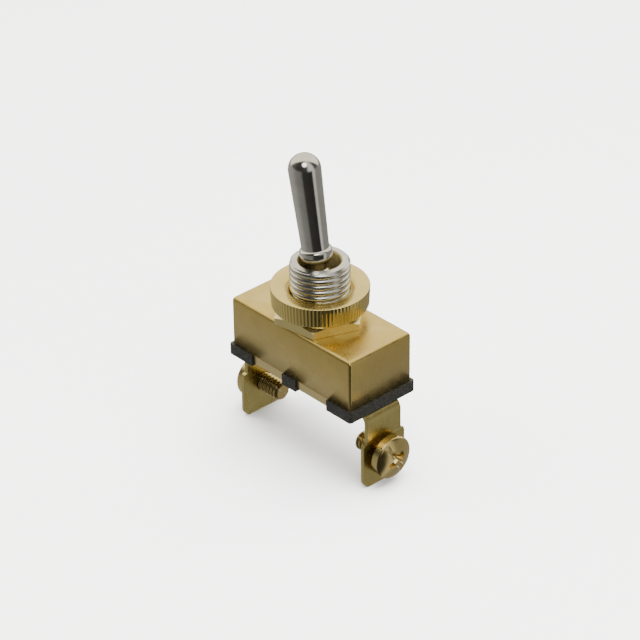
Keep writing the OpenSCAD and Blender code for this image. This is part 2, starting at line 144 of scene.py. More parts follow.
TERMINAL_SHEET = 0.9 * MM
TERMINAL_EDGE = 0.14 * MM
NECK_HALF = 4.5 * MM
PLATE_HALF = 5.5 * MM
PLATE_CORNER = 1.8 * MM
BEND_R = 2.2 * MM
BEND_STEPS = 12
SHOULDER_Z = -20.1 * MM
SHOULDER_FILLET = 0.45 * MM
SHOULDER_R = 0.8 * MM
SCREW_Z = -23.9 * MM
SCREW_R = 2.05 * MM
SCREW_GAP = 0.05 * MM
SCREW_PITCH = 0.95 * MM
SCREW_THREAD = 0.3 * MM
SCREW_POINT = 0.45 * MM
SCREW_POINT_SLOPE = 1.1
SCREW_LEAST_R = 0.2 * MM
SHANK_IN_HEAD = 0.3 * MM
HEAD_R = 4.5 * MM
HEAD_HEIGHT = 3 * MM
HEAD_RIM = 1.8 * MM
HEAD_EDGE = 0.12 * MM
HEAD_UNDERCUT = 0.25 * MM
DOME_STEPS = 14
RECESS_OVERSHOOT = 0.5 * MM
RECESS_SLOT_HALF = 0.5 * MM
RECESS_SLOT_DEPTH = 1.0 * MM
RECESS_CROSS_DEPTH = 1.45 * MM
RECESS_CROSS_REACH = (1.1 * MM, 2.6 * MM)
RECESS_CROSS_HALF = (0.45 * MM, 0.8 * MM)
RECESS_WELL_DEPTH = 0.25 * MM
RECESS_WELL_R = (0.9 * MM, 1.5 * MM)


# ---------------------------------------------------------------- mesh helpers
def new_object(name, verts, faces, smooth_angle=35):
    """A mesh object with outward normals, sharp where faces meet at more than smooth_angle degrees."""
    mesh = bpy.data.meshes.new(name)
    mesh.from_pydata([tuple(v) for v in verts], [], faces)
    build = bmesh.new()
    build.from_mesh(mesh)
    bmesh.ops.remove_doubles(build, verts=build.verts, dist=WELD)
    bmesh.ops.dissolve_degenerate(build, edges=build.edges, dist=SLIVER)
    bmesh.ops.recalc_face_normals(build, faces=build.faces)
    build.to_mesh(mesh)
    build.free()
    mesh.shade_smooth()
    mesh.set_sharp_from_angle(angle=math.radians(smooth_angle))
    obj = bpy.data.objects.new(name, mesh)
    bpy.context.scene.collection.objects.link(obj)
    return obj


def skin(rings, closed=False):
    """Vertices and faces of a skin over equal rings of points. closed joins the last ring to the first."""
    count = len(rings[0])
    verts = [p for ring in rings for p in ring]
    faces = []
    for k in range(len(rings) if closed else len(rings) - 1):
        a, b = k * count, ((k + 1) % len(rings)) * count
        for i in range(count):
            j = (i + 1) % count
            faces.append((a + i, a + j, b + j, b + i))
    return verts, faces


def turned(name, profile, segments=128, radius=None, angles=None, smooth_angle=35):
    """A solid of revolution about Z from a closed line of (r, z) points.

    radius(r, z, angle) may change a point's radius, and angles may take the place of equal segments.
    """
    angles = angles or [2 * math.pi * i / segments for i in range(segments)]
    rings = []
    for r, z in profile:
        radii = [radius(r, z, a) if radius else r for a in angles]
        rings.append([(q * math.cos(a), q * math.sin(a), z) for q, a in zip(radii, angles)])
    return new_object(name, *skin(rings, closed=True), smooth_angle=smooth_angle)


def arc(cx, cy, r, start, end, steps):
    """Points on an arc, with angles in degrees."""
    return [(cx + r * math.cos(math.radians(start + (end - start) * i / steps)),
             cy + r * math.sin(math.radians(start + (end - start) * i / steps))) for i in range(steps + 1)]


def prism(name, outline, low, high, axis="Z"):
    """A closed outline of points extruded from low to high along an axis.

    The points are (x, y) for Z, (y, z) for X and (x, z) for Y.
    """
    point_on = {
        "X": lambda u, v, w: (w, u, v),
        "Y": lambda u, v, w: (u, w, v),
        "Z": lambda u, v, w: (u, v, w),
    }[axis]
    count = len(outline)
    verts = [point_on(u, v, low) for u, v in outline] + [point_on(u, v, high) for u, v in outline]
    faces = [tuple(range(count)), tuple(range(2 * count - 1, count - 1, -1))]
    faces += [(i, (i + 1) % count, count + (i + 1) % count, count + i) for i in range(count)]
    return new_object(name, verts, faces)


def block(name, low, high):
    """A box between two corners, as a prism."""
    outline = [(low[0], low[1]), (high[0], low[1]), (high[0], high[1]), (low[0], high[1])]
    return prism(name, outline, low[2], high[2])


def bevel(obj, width, segments, angle):
    """Rounds the edges at which an object's faces turn by more than an angle in degrees."""
    mod = obj.modifiers.new("edges", "BEVEL")
    mod.width = width
    mod.segments = segments
    mod.limit_method = "ANGLE"
    mod.angle_limit = math.radians(angle)
    mod.harden_normals = False
    return obj


def settle(obj):
    """Makes an object's modifiers final."""
    graph = bpy.context.evaluated_depsgraph_get()
    mesh = bpy.data.meshes.new_from_object(obj.evaluated_get(graph))
    old = obj.data
    obj.modifiers.clear()
    obj.data = mesh
    bpy.data.meshes.remove(old)
    return obj


def combine(obj, others, operation):
    """Boolean of one object with others, which are used up."""
    for other in others:
        mod = obj.modifiers.new("boolean", "BOOLEAN")
        mod.operation = operation
        mod.solver = "EXACT"
        mod.object = other
    settle(obj)
    for other in others:
        bpy.data.objects.remove(other, do_unlink=True)
    return obj


def sharpen(obj, angle):
    """Marks smooth faces and sharp edges again after a boolean."""
    obj.data.shade_smooth()
    obj.data.set_sharp_from_angle(angle=math.radians(angle))
    return obj


def join(obj, others):
    """Adds other objects' meshes to obj, and uses them up."""
    build = bmesh.new()
    build.from_mesh(obj.data)
    for other in others:
        build.from_mesh(other.data)
        bpy.data.objects.remove(other, do_unlink=True)
    build.to_mesh(obj.data)
    build.free()
    return obj


def move(obj, matrix):
    """Moves an object's vertices, leaves its origin where it is and keeps its faces right side out."""
    obj.data.transform(matrix)
    if matrix.determinant() < 0:
        obj.data.flip_normals()
    return obj


def thread_dip(phase):
    """How far a flat-crested thread lies below its crest, from 0 to 1, at a place within one pitch."""
    crest, root = 0.16, 0.14
    flank = (1 - crest - root) / 2
    if phase < crest:
        return 0
    if phase < crest + flank:
        return (phase - crest) / flank
    if phase < crest + flank + root:
        return 1
    return (1 - phase) / flank


# ---------------------------------------------------------------- material helpers
GRAIN_HEIGHT = 0.02 * MM
MOULD_HEIGHT = 0.03 * MM
# Painted shade inside the stem's bore: how far out it reaches, how it fades and the roughness it adds.
BORE_SHADE_R = 4.34 * MM
BORE_SHADE_FADE = 0.1 * MM
BORE_SHADE_ROUGHNESS = 0.3


def nodes_of(name):
    """A new material's node tree and its Principled shader."""
    material = bpy.data.materials.new(name)
    material.use_nodes = True
    tree = material.node_tree
    return material, tree, tree.nodes["Principled BSDF"]


def noise(tree, coords, scale, detail=4, rough=0.55, stretch=None):
    """A noise texture's output on object coordinates. stretch scales them first."""
    node = tree.nodes.new("ShaderNodeTexNoise")
    node.inputs["Scale"].default_value = scale
    node.inputs["Detail"].default_value = detail
    node.inputs["Roughness"].default_value = rough
    if stretch:
        mapping = tree.nodes.new("ShaderNodeMapping")
        mapping.inputs["Scale"].default_value = stretch
        tree.links.new(coords, mapping.inputs["Vector"])
        coords = mapping.outputs["Vector"]
    tree.links.new(coords, node.inputs["Vector"])
    return node.outputs["Fac"]


def ramp(tree, value, stops):
    """A colour ramp over a value. stops are (place, colour)."""
    node = tree.nodes.new("ShaderNodeValToRGB")
    elements = node.color_ramp.elements
    elements.remove(elements[1])
    elements[0].position = stops[0][0]
    for place, _ in stops[1:]:
        elements.new(place)
    for element, (_, colour) in zip(elements, stops):
        element.color = (*colour, 1)
    tree.links.new(value, node.inputs["Fac"])
    return node.outputs["Color"]


def remap(tree, value, low, high, from_low=0.3, from_high=0.7):
    """A value spread from one range to another, kept inside it."""
    node = tree.nodes.new("ShaderNodeMapRange")
    node.inputs["From Min"].default_value = from_low
    node.inputs["From Max"].default_value = from_high
    node.inputs["To Min"].default_value = low
    node.inputs["To Max"].default_value = high
    tree.links.new(value, node.inputs["Value"])
    return node.outputs["Result"]


def mix(tree, factor, a, b):
    """Two colours mixed by a factor. Each is a socket or a plain colour."""
    node = tree.nodes.new("ShaderNodeMix")
    node.data_type = "RGBA"
    tree.links.new(factor, node.inputs["Factor"])
    for socket, value in ((node.inputs["A"], a), (node.inputs["B"], b)):
        if isinstance(value, tuple):
            socket.default_value = (*value, 1)
        else:
            tree.links.new(value, socket)
    return node.outputs["Result"]


def bump(tree, shader, height, strength, distance):
    """Bends the shader's normal by a height."""
    node = tree.nodes.new("ShaderNodeBump")
    node.inputs["Strength"].default_value = strength
    node.inputs["Distance"].default_value = distance
    tree.links.new(height, node.inputs["Height"])
    tree.links.new(node.outputs["Normal"], shader.inputs["Normal"])


def metal(name, light, dark, rough, grain_stretch, grain, worn, stain=None, stain_amount=0.0):
    """A metal with cloudy colour, uneven gloss, fine grain, edges worn bright and perhaps stained patches."""
    material, tree, shader = nodes_of(name)
    shader.inputs["Metallic"].default_value = 1.0
    coords = tree.nodes.new("ShaderNodeTexCoord").outputs["Object"]
    clouds = noise(tree, coords, 180, 5, 0.6)
    colour = ramp(tree, clouds, [(0.34, dark), (0.66, light)])
    if stain:
        patches = remap(tree, noise(tree, coords, 90, 3, 0.5), 0, stain_amount, 0.5, 0.72)
        colour = mix(tree, patches, colour, stain)
    point = tree.nodes.new("ShaderNodeNewGeometry").outputs["Pointiness"]
    colour = mix(tree, remap(tree, point, 0, 0.7, 0.53, 0.6), colour, worn)
    tree.links.new(colour, shader.inputs["Base Color"])
    gloss = noise(tree, coords, 420, 4, 0.6)
    tree.links.new(remap(tree, gloss, rough * 0.8, rough * 1.3), shader.inputs["Roughness"])
    bump(tree, shader, noise(tree, coords, 900, 3, 0.5, grain_stretch), grain, GRAIN_HEIGHT)
    return material


def nickel_material(name, rough, bore=None):
    """Bright nickel plate. bore is a radius about Z inside which painted shade turns it a dull, cloudy dark brown.
    """
    material, tree, shader = nodes_of(name)
    coords = tree.nodes.new("ShaderNodeTexCoord").outputs["Object"]
    clouds = noise(tree, coords, 250, 5, 0.6)
    colour = ramp(tree, clouds, [(0.35, (0.58, 0.565, 0.51)), (0.65, (0.68, 0.665, 0.61))])
    gloss = remap(tree, noise(tree, coords, 600, 4, 0.6), rough * 0.75, rough * 1.3)
    shader.inputs["Metallic"].default_value = 1.0
    if bore:
        flat = tree.nodes.new("ShaderNodeVectorMath")
        flat.operation = "MULTIPLY"
        flat.inputs[1].default_value = (1, 1, 0)
        tree.links.new(coords, flat.inputs[0])
        reach = tree.nodes.new("ShaderNodeVectorMath")
        reach.operation = "LENGTH"
        tree.links.new(flat.outputs["Vector"], reach.inputs[0])
        # Painted shade: inside the bore the colour turns a cloudy dark brown, less metallic and rougher.
        inside = remap(tree, reach.outputs["Value"], 1, 0, bore, bore + BORE_SHADE_FADE)
        bore_shade_clouds = noise(tree, coords, 500, 4, 0.6)
        bore_shade = ramp(tree, bore_shade_clouds, [(0.35, (0.22, 0.17, 0.06)), (0.65, (0.42, 0.34, 0.15))])
        colour = mix(tree, inside, colour, bore_shade)
        tree.links.new(remap(tree, inside, 1, 0.55, 0, 1), shader.inputs["Metallic"])
        roughness = tree.nodes.new("ShaderNodeMath")
        roughness.operation = "MULTIPLY_ADD"
        tree.links.new(inside, roughness.inputs[0])
        roughness.inputs[1].default_value = BORE_SHADE_ROUGHNESS
        tree.links.new(gloss, roughness.inputs[2])
        gloss = roughness.outputs[0]
    tree.links.new(colour, shader.inputs["Base Color"])
    tree.links.new(gloss, shader.inputs["Roughness"])
    bump(tree, shader, noise(tree, coords, 1200, 3, 0.5), 0.03, GRAIN_HEIGHT)
    return material


def phenolic_material(name):
    """Black moulded phenolic with fine grey specks and a slightly rough skin."""
    material, tree, shader = nodes_of(name)
    coords = tree.nodes.new("ShaderNodeTexCoord").outputs["Object"]
    specks = noise(tree, coords, 2600, 3, 0.7)
    black, charcoal, grey = (0.004, 0.004, 0.003), (0.015, 0.014, 0.01), (0.04, 0.038, 0.028)
    colour = ramp(tree, specks, [(0.45, black), (0.65, charcoal), (0.8, grey)])
    tree.links.new(colour, shader.inputs["Base Color"])
    tree.links.new(remap(tree, noise(tree, coords, 700), 0.38, 0.62), shader.inputs["Roughness"])
    bump(tree, shader, noise(tree, coords, 1800, 4, 0.6), 0.3, MOULD_HEIGHT)
    return material


def plain_material(name, light, dark, rough, metallic=0.0):
    """A modest material for the pieces inside: cloudy colour, uneven gloss and a fine grain."""
    material, tree, shader = nodes_of(name)
    shader.inputs["Metallic"].default_value = metallic
    coords = tree.nodes.new("ShaderNodeTexCoord").outputs["Object"]
    colour = ramp(tree, noise(tree, coords, 300), [(0.35, dark), (0.65, light)])
    tree.links.new(colour, shader.inputs["Base Color"])
    gloss = remap(tree, noise(tree, coords, 500), rough * 0.8, rough * 1.25)
    tree.links.new(gloss, shader.inputs["Roughness"])
    bump(tree, shader, noise(tree, coords, 1500), 0.15, GRAIN_HEIGHT)
    return material


ALONG_Z = (1, 1, 0.06)
EVEN = (1, 1, 1)
MATERIALS = {
    "case_brass": metal("case_brass", (0.68, 0.51, 0.155), (0.60, 0.45, 0.135), 0.3, ALONG_Z, 0.14,
                        worn=(0.86, 0.72, 0.38), stain=(0.52, 0.37, 0.17), stain_amount=0.45),
    "nut_brass": metal("nut_brass", (0.74, 0.59, 0.20), (0.66, 0.52, 0.17), 0.22, EVEN, 0.08,
                       worn=(0.92, 0.80, 0.46)),
    "terminal_brass": metal("terminal_brass", (0.64, 0.53, 0.20), (0.52, 0.43, 0.15), 0.28, ALONG_Z, 0.14,
                            worn=(0.80, 0.70, 0.38), stain=(0.34, 0.24, 0.08), stain_amount=0.5),
    "screw_brass": metal("screw_brass", (0.76, 0.60, 0.25), (0.64, 0.49, 0.19), 0.2, EVEN, 0.08,
                         worn=(0.92, 0.78, 0.46), stain=(0.42, 0.28, 0.10), stain_amount=0.45),
    "nickel": nickel_material("nickel", 0.11),
    "stem_nickel": nickel_material("stem_nickel", 0.2, bore=BORE_SHADE_R),
    "phenolic": phenolic_material("phenolic"),
    "steel": plain_material("steel", (0.60, 0.60, 0.61), (0.5, 0.5, 0.5), 0.3, 1.0),
    "copper": plain_material("copper", (0.70, 0.40, 0.24), (0.55, 0.30, 0.17), 0.3, 1.0),
    "silver": plain_material("silver", (0.86, 0.85, 0.83), (0.74, 0.73, 0.70), 0.22, 1.0),
    "fibre": plain_material("fibre", (0.34, 0.17, 0.11), (0.24, 0.11, 0.07), 0.6),
}


def place(obj, body, node, slot, material=None):
    """Hands a finished piece to the frame: what carries it, what it stands for and its finish.

    material is the look, where it isn't the one named after the slot.
    """
    obj.data.materials.clear()
    obj.data.materials.append(MATERIALS[material or slot])
    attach(obj, body)
    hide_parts(node)
    return obj


# ---------------------------------------------------------------- case
def round_rect_ring(half_x, half_y, r, z):
    """A ring of points round a rectangle with round corners."""
    ring = []
    for side_x, side_y, start in ((1, 1, 0), (-1, 1, 90), (-1, -1, 180), (1, -1, 270)):
        corner = arc(side_x * (half_x - r), side_y * (half_y - r), r, start, start + 90, CORNER_STEPS)
        ring += [(x, y, z) for x, y in corner]
    return ring


def case_tab(side_x, side_y, half_y):
    """A tab of a long side, with its fold under the base. The sides are -1 or 1."""
    low = CASE_LOW[2]
    centre_y, centre_z = half_y - TAB_BEND_R, low + TAB_BEND_R
    fold_y = half_y - SHEET - TAB_FOLD
    outline = [(half_y, -CASE_DEPTH)] + arc(centre_y, centre_z, TAB_BEND_R, 0, -90, 8)
    outline += [(fold_y, low), (fold_y, low + SHEET)]
    outline += arc(centre_y, centre_z, TAB_BEND_R - SHEET, -90, 0, 5) + [(half_y - SHEET, -CASE_DEPTH)]
    outline = [(side_y * y, z) for y, z in outline]
    ends = sorted((side_x * TAB_NEAR, side_x * TAB_FAR))
    return prism("tab", outline, ends[0], ends[1], "X")


def tab_fillet(side_x, side_y, half_y):
    """The small fillet where a tab's outer edge meets the wall above it."""
    corner = side_x * TAB_FAR
    centre_x, centre_z = corner + side_x * TAB_FILLET_R, -CASE_DEPTH - TAB_FILLET_R
    outline = [(corner, -CASE_DEPTH)]
    for degrees in range(0, 91, 15):
        a = math.radians(degrees)
        x, z = centre_x - side_x * TAB_FILLET_R * math.cos(a), centre_z + TAB_FILLET_R * math.sin(a)
        outline.append((x, z))
    ends = sorted((side_y * half_y, side_y * (half_y - SHEET)))
    return prism("fillet", outline, ends[0], ends[1], "Y")


def build_case():
    """The case, open below: walls and top in one skin round a hole for the stem, and its four tabs."""
    half_x, half_y = CASE_HIGH[0], CASE_HIGH[1]
    in_x, in_y = half_x - SHEET, half_y - SHEET
    outer = []
    for k in range(TOP_EDGE_STEPS + 1):
        a = math.radians(90 * k / TOP_EDGE_STEPS)
        inset, z = TOP_EDGE * (1 - math.cos(a)), -TOP_EDGE * (1 - math.sin(a))
        corner = max(CASE_CORNER - inset * CASE_CORNER_SHRINK, CASE_LEAST_CORNER)
        outer.append(round_rect_ring(half_x - inset, half_y - inset, corner, z))

    def hole(z):
        """A ring on the hole's wall, each point in line with one of the top's outer ring."""
        spots = [(x, y, NUT_BORE_R / math.hypot(x, y)) for x, y, _ in outer[-1]]
        return [(x * shrink, y * shrink, z) for x, y, shrink in spots]

    wall = [round_rect_ring(half_x - CASE_LIP, half_y - CASE_LIP, CASE_CORNER, -CASE_DEPTH),
            round_rect_ring(half_x, half_y, CASE_CORNER, -CASE_DEPTH + CASE_LIP)]
    inner = [round_rect_ring(in_x - CASE_IN_EDGE, in_y - CASE_IN_EDGE, CASE_IN_CORNER, -SHEET),
             round_rect_ring(in_x, in_y, CASE_IN_CORNER, -SHEET - CASE_IN_EDGE),
             round_rect_ring(in_x, in_y, CASE_IN_CORNER, -CASE_DEPTH)]
    rings = wall + outer + [hole(0), hole(-SHEET)] + inner
    case = new_object("case_shell.look", *skin(rings, closed=True), smooth_angle=50)
    extras = []
    for side_x in (-1, 1):
        for side_y in (-1, 1):
            extras += [case_tab(side_x, side_y, half_y), tab_fillet(side_x, side_y, half_y)]
    join(case, extras)
    return place(case, "housing", "case_shell", "case_brass")


# ---------------------------------------------------------------- stem
def thread_z_rows(low, high, pitch, per_pitch):
    """Evenly spaced heights for a threaded stretch."""
    count = round((high - low) / pitch * per_pitch)
    return [low + (high - low) * k / count for k in range(count + 1)]


def build_stem():
    """The threaded stem with its flange, keyway, mouth and the two slots for the lever's pin."""
    top, bottom = STEM_HIGH[2], STEM_LOW[2]
    flange_r = STEM_HIGH[0]
    flange_top = bottom + STEM_FLANGE
    slot_top = PIVOT_Z + SLOT_WIDTH / 2
    key_angle = math.asin(KEY_WIDTH / 2 / STEM_R)
    slot_angle = math.asin(SLOT_WIDTH / 2 / SLOT_REACH)
    angles = [2 * math.pi * i / STEM_SEGMENTS for i in range(STEM_SEGMENTS)]
    for centre, half in ((math.pi, key_angle), (math.pi / 2, slot_angle), (3 * math.pi / 2, slot_angle)):
        for side in (-half, half):
            angles += [centre + side - NEAR_ZERO, centre + side + NEAR_ZERO]
    angles.sort()

    def thread_radius(z, a):
        phase = (z / THREAD_PITCH - a / (2 * math.pi)) % 1
        dip = THREAD_DEPTH * (1 - math.sin(math.pi * phase) ** THREAD_CREST)
        fade = min(1, max(0, (z - THREAD_START) / THREAD_FADE))
        chamfer = STEM_R - STEM_CHAMFER + (top - z) * STEM_CHAMFER_SLOPE
        r = min(STEM_R - dip * fade, chamfer)
        if abs(a - math.pi) < key_angle and z > HEX_HIGH[2]:
            r = min(r, (STEM_R - KEY_DEPTH) / abs(math.cos(a)))
        return r

    def radius(r, z, a):
        if abs(r - STEM_R) < NEAR_ZERO:
            return thread_radius(z, a)
        on_slot = min(abs(a - math.pi / 2), abs(a - 3 * math.pi / 2)) < slot_angle
        if abs(r - BORE_R) < NEAR_ZERO and on_slot and z < slot_top - NEAR_ZERO:
            return SLOT_REACH
        return r

    profile = [(BORE_R, bottom), (flange_r - FLANGE_EDGE, bottom), (flange_r, bottom + FLANGE_EDGE)]
    profile += [(flange_r, flange_top), (STEM_R, flange_top)]
    profile += [(STEM_R, z) for z in thread_z_rows(flange_top, top, THREAD_PITCH, 20)[1:]]
    profile += [(MOUTH_R + MOUTH_EDGE, top), (MOUTH_R, top - MOUTH_SLOPE)]
    profile += [(BORE_R + NEAR_ZERO * 3, top - MOUTH_DEPTH)]
    profile += [(BORE_R, slot_top + 2 * NEAR_ZERO), (BORE_R, slot_top - 2 * NEAR_ZERO)]
    stem = turned("stem.look", profile, angles=angles, radius=radius, smooth_angle=32)
    return place(stem, "housing", "stem", "nickel", "stem_nickel")


# ---------------------------------------------------------------- nuts
def build_hex_nut():
    """The thin hexagonal nut, whose corners are cut down by a cone on top."""
    low, high = HEX_LOW[2], HEX_HIGH[2]
    apothem = HEX_FLATS / 2
    chamfer_start = apothem + HEX_CROWN
    side = math.pi / 3
    turns = [HEX_TURN + side * (k + i / HEX_SIDE_STEPS) for k in range(6) for i in range(HEX_SIDE_STEPS)]
    rings = [[] for _ in range(6)]
    for a in turns:
        edge = apothem / math.cos((a - HEX_TURN) % side - side / 2)
        drop = max(0, edge - chamfer_start) * math.tan(HEX_CHAMFER_ANGLE)
        section = (
            (NUT_BORE_R, low),
            (edge - HEX_EDGE, low),
            (edge, low + HEX_EDGE),
            (edge, high - HEX_EDGE / 2 - drop),
            (min(chamfer_start, edge - HEX_EDGE / 2), high),
            (NUT_BORE_R, high),
        )
        for ring, (r, z) in zip(rings, section):
            ring.append((r * math.cos(a), r * math.sin(a), z))
    nut = new_object("hex_nut.look", *skin(rings, closed=True), smooth_angle=20)
    return place(nut, "housing", "hex_nut", "nut_brass")


def build_round_nut():
    """The round nut with a finely knurled side, a chamfered foot and a countersunk bore."""
    low, high = ROUND_LOW[2], ROUND_HIGH[2]
    top_r = ROUND_HIGH[0]
    foot_r = top_r - ROUND_TAPER

    def radius(r, z, a):
        tooth = (a * KNURL_TEETH / (2 * math.pi)) % 1
        dip = abs(math.cos(math.pi * tooth)) ** KNURL_ROUNDING
        fade = min(1, max(0, (r - (top_r - KNURL_BAND)) / KNURL_FADE))
        return r - KNURL_DEPTH * fade * dip

    wall_low, wall_high = low + ROUND_CHAMFER, high - ROUND_EDGE
    wall = [wall_low + (wall_high - wall_low) * k / 4 for k in range(5)]
    sink = high - COUNTERSINK_DEPTH
    half_pitch = THREAD_PITCH / 2
    profile = [(NUT_BORE_R, low), (foot_r - ROUND_CHAMFER, low)]
    profile += [(foot_r + (top_r - foot_r) * (z - low) / (high - low), z) for z in wall]
    profile += [(top_r - ROUND_EDGE * 0.3, high - ROUND_EDGE * 0.3), (top_r - ROUND_EDGE, high)]
    profile += [(COUNTERSINK_R + 0.1 * MM, high), (COUNTERSINK_R - 0.05 * MM, high - 0.08 * MM)]
    profile += [(NUT_BORE_R + COUNTERSINK_FOOT, sink + COUNTERSINK_FOOT)]
    profile += [(NUT_BORE_R, sink - k * half_pitch) for k in range(int((sink - low) / half_pitch))]
    nut = turned("round_nut.look", profile, KNURL_TEETH * KNURL_TOOTH_STEPS, radius=radius, smooth_angle=38)
    return place(nut, "round_nut", "round_nut", "nut_brass")


# ---------------------------------------------------------------- lever
def build_lever():
    """The round lever: ball with an open well, waist, collar with a sloping shoulder, and handle."""
    collar_top = (STEM_HIGH[2] + COLLAR_ABOVE_STEM - PIVOT_Z) / math.cos(LEAN)
    collar_foot = collar_top - COLLAR_HEIGHT
    cone_foot = collar_foot - COLLAR_CONE
    foot = -(PIVOT_Z + LEVER_BELOW_CASE) / math.cos(LEAN)
    end = LEVER_LENGTH - LEVER_INSIDE_CAD
    tip = end - TIP_R
    ball_span = math.degrees(math.acos(FOOT_R / BALL_R))
    steps = 12
    profile = [(WELL_R, foot), (FOOT_R - FOOT_EDGE, foot), (FOOT_R, foot + FOOT_EDGE)]
    profile += arc(0, 0, BALL_R, -ball_span, ball_span, 24)
    # waist, cone and the collar's rounded foot
    profile += [(WAIST_R, cone_foot - 0.1 * MM), (WAIST_R + 0.08 * MM, cone_foot + 0.1 * MM)]
    profile += [(COLLAR_R - 0.3 * MM, collar_foot - 0.3 * MM), (COLLAR_R - 0.1 * MM, collar_foot - 0.02 * MM)]
    profile += [(COLLAR_R, collar_foot + 0.3 * MM), (COLLAR_R, collar_top - 0.38 * MM)]
    # sloping shoulder, up to a small fillet against the handle
    profile += [(COLLAR_R - 0.04 * MM, collar_top - 0.28 * MM)]
    profile += [(HANDLE_R + 0.12 * MM, collar_top + 0.02 * MM)]
    profile += [(HANDLE_R + 0.04 * MM, collar_top + 0.07 * MM), (HANDLE_R + 0.02 * MM, collar_top + 0.2 * MM)]
    profile += [(HANDLE_R + (TIP_R - HANDLE_R) * k / steps, collar_top + (tip - collar_top) * k / steps)
                for k in range(1, steps)]
    profile += arc(0, tip, TIP_R, 0, 90, 28)[:-1] + [(0, end)]
    profile += [(0, WELL_TOP), (WELL_R, WELL_TOP)]
    lever = turned("lever.look", profile, 96, smooth_angle=28)
    move(lever, Matrix.Translation((0, 0, PIVOT_Z)) @ Matrix.Rotation(LEAN, 4, "Y"))
    return place(lever, "lever", "lever", "nickel")


# ---------------------------------------------------------------- terminals and their screws
MIRROR_X = Matrix.Scale(-1, 4, (1, 0, 0))


def strip_rows():
    """Rows along a terminal's middle line, from under the base, round the bend and down.

    Each row is (x, z, turn of the outward normal from +Z in degrees, half width).
    """
    face, top, bottom = PLATE_HIGH[0], PLATE_HIGH[2], PLATE_LOW[2]
    mid = TERMINAL_SHEET / 2
    bend_x, bend_z, bend_mid = face - BEND_R, top - BEND_R, BEND_R - mid
    rows = [(PLATE_LOW[0], top - mid, 0, NECK_HALF), (bend_x - 1 * MM, top - mid, 0, NECK_HALF)]
    for k in range(BEND_STEPS + 1):
        turn = 90 * k / BEND_STEPS
        a = math.radians(90 - turn)
        rows.append((bend_x + bend_mid * math.cos(a), bend_z + bend_mid * math.sin(a), turn, NECK_HALF))

    def down(z, half):
        rows.append((face - mid, z, 90, half))

    for degrees in range(0, 91, 15):
        a = math.radians(degrees)
        half = NECK_HALF + SHOULDER_FILLET * (1 - math.cos(a))
        down(SHOULDER_Z + SHOULDER_FILLET * (1 - math.sin(a)), half)
    shoulder_half = max(PLATE_HALF - SHOULDER_R, NECK_HALF + SHOULDER_FILLET)
    for degrees in range(0, 91, 15):
        a = math.radians(degrees)
        half = shoulder_half + (PLATE_HALF - shoulder_half) * math.sin(a)
        down(SHOULDER_Z - SHOULDER_R * (1 - math.cos(a)), half)
    for degrees in range(0, 91, 10):
        a = math.radians(degrees)
        half = PLATE_HALF - PLATE_CORNER * (1 - math.cos(a))
        down(bottom + PLATE_CORNER * (1 - math.sin(a)), half)
    return rows


def build_terminal(name, node, side):
    """A bent strip with a plate, drilled for its screw. side is 1 for the +X end and -1 for the other."""
    mid = TERMINAL_SHEET / 2
    spread = [-1, -0.6, -0.2, 0.2, 0.6, 1]
    rings = []
    for x, z, turn, half in strip_rows():
        nx, nz = math.sin(math.radians(turn)) * mid, math.cos(math.radians(turn)) * mid
        outside = [(x + nx, half * across, z + nz) for across in spread]
        inside = [(x - nx, half * across, z - nz) for across in reversed(spread)]
        rings.append(outside + inside)
    verts, faces = skin(rings)
    count = len(rings[0])
    last = (len(rings) - 1) * count
    faces += [tuple(range(count)), tuple(range(last + count - 1, last - 1, -1))]
    terminal = new_object(name, verts, faces)
    hole_r, reach = SCREW_R + SCREW_GAP, 2 * MM
    hole = turned("hole", [(0, -reach), (hole_r, -reach), (hole_r, reach), (0, reach)], 48)
    move(hole, Matrix.Translation((PLATE_HIGH[0], 0, SCREW_Z)) @ Matrix.Rotation(math.pi / 2, 4, "Y"))
    combine(terminal, [hole], "DIFFERENCE")
    sharpen(terminal, 35)
    bevel(terminal, TERMINAL_EDGE, 3, 50)
    settle(terminal)
    if side < 0:
        move(terminal, MIRROR_X)
    return place(terminal, "housing", node, "terminal_brass")


def recess_cutters(turn):
    """What cuts a screw head's recess: a full slot, a shorter cross with sloping walls and a round well."""
    top = HEAD_HEIGHT + RECESS_OVERSHOOT
    slot_reach, slot_floor = HEAD_R * 1.1, HEAD_HEIGHT - RECESS_SLOT_DEPTH
    slot = block("slot", (-slot_reach, -RECESS_SLOT_HALF, slot_floor), (slot_reach, RECESS_SLOT_HALF, top))
    floor = HEAD_HEIGHT - RECESS_CROSS_DEPTH
    reach_low, reach_high = RECESS_CROSS_REACH
    half_low, half_high = RECESS_CROSS_HALF
    cross = []
    for k in range(2):
        outline = [(-reach_low, floor), (reach_low, floor), (reach_high, top), (-reach_high, top)]
        arm = prism("arm", outline, -half_low, half_low, "Y")
        for vertex in arm.data.vertices:
            if vertex.co.z > (floor + top) / 2:
                vertex.co.y *= half_high / half_low
        move(arm, Matrix.Rotation(k * math.pi / 2, 4, "Z"))
        cross.append(arm)
    well_low, well_high = RECESS_WELL_R
    well = turned("well", [(0, floor - RECESS_WELL_DEPTH), (well_low, floor), (well_high, top), (0, top)], 32)
    cutters = [slot, *cross, well]
    for cutter in cutters:
        move(cutter, Matrix.Rotation(turn, 4, "Z"))
    return cutters


